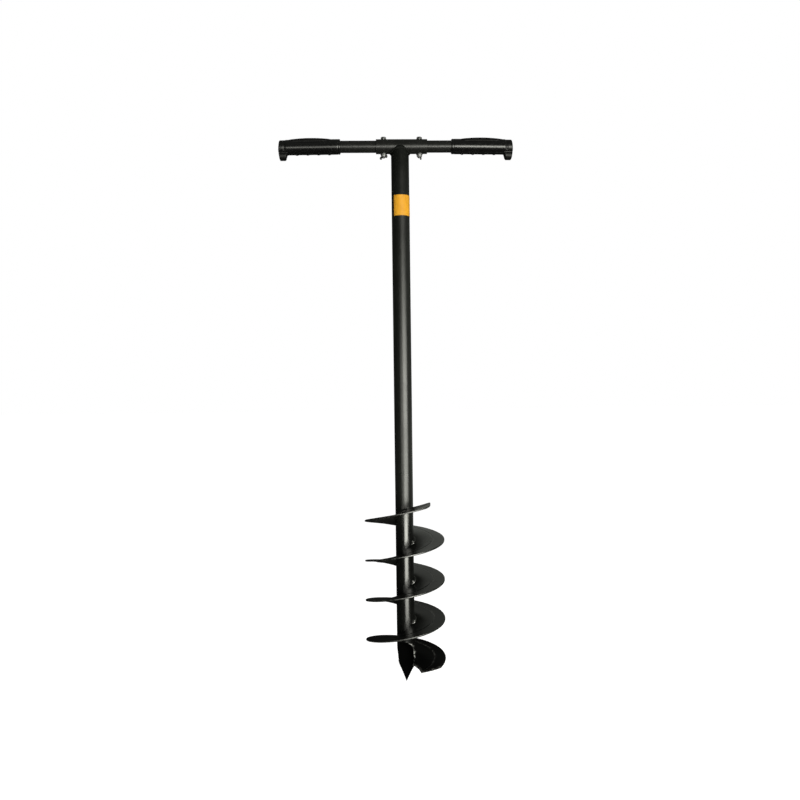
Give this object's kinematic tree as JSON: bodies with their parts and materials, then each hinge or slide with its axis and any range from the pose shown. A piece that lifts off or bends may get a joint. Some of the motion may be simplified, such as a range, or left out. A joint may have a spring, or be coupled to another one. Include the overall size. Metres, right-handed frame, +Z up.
{
  "type": "hand earth auger",
  "caption": "Hand earth auger with a tube shaft, welded helical flights, a gouge point and a T-handle of bolted tubes with moulded grips.",
  "frame": {"origin": "the tip of the point, where the auger meets the ground", "axes": "+Z up along the shaft, +X along the handles to the right, +Y to the back"},
  "size_m": [0.4396, 0.15, 1.0315],
  "materials": {
    "shaft_paint": "satin black paint",
    "handle_paint": "matte dark grey paint",
    "grip_plastic": "soft moulded black plastic",
    "zinc": "bright zinc plate",
    "label_film": "printed film, blank"
  },
  "bodies": {
    "auger": {"main_shaft": "shaft_paint", "gouge_point": "shaft_paint", "cross_sleeve": "handle_paint", "tee_weld": "shaft_paint", "left_handle_tube": "handle_paint", "right_handle_tube": "handle_paint", "left_grip": "grip_plastic", "right_grip": "grip_plastic", "left_bolt": "zinc", "right_bolt": "zinc", "flight_1": "shaft_paint", "flight_2": "shaft_paint", "flight_3": "shaft_paint", "flight_4": "shaft_paint", "flight_weld_1": "shaft_paint", "flight_weld_2": "shaft_paint", "flight_weld_3": "shaft_paint", "flight_weld_4": "shaft_paint", "flight_weld_5": "shaft_paint", "label": "label_film"},
    "left_washer": {"left_nut_washer": "zinc"},
    "right_washer": {"right_nut_washer": "zinc"},
    "left_nut": {"left_wing_nut": "zinc"},
    "right_nut": {"right_wing_nut": "zinc"}
  },
  "joints": [
    {"name": "left_nut_travel", "type": "slide", "parent": "auger", "child": "left_washer", "axis": [0, 0, -1], "range_m": [0, 0.0041]},
    {"name": "left_nut_turn", "type": "hinge", "parent": "left_washer", "child": "left_nut", "pos_m": [-0.0307, 0, 0.9987], "axis": [0, 0, -1], "range_deg": [0, 1440]},
    {"name": "right_nut_travel", "type": "slide", "parent": "auger", "child": "right_washer", "axis": [0, 0, -1], "range_m": [0, 0.0041]},
    {"name": "right_nut_turn", "type": "hinge", "parent": "right_washer", "child": "right_nut", "pos_m": [0.0367, 0, 0.9987], "axis": [0, 0, -1], "range_deg": [0, 1440]}
  ],
  "couplings": [
    {"joint": "left_nut_travel", "follows": "left_nut_turn", "m_per_rad": 0.00015915},
    {"joint": "right_nut_travel", "follows": "right_nut_turn", "m_per_rad": 0.00015915}
  ]
}
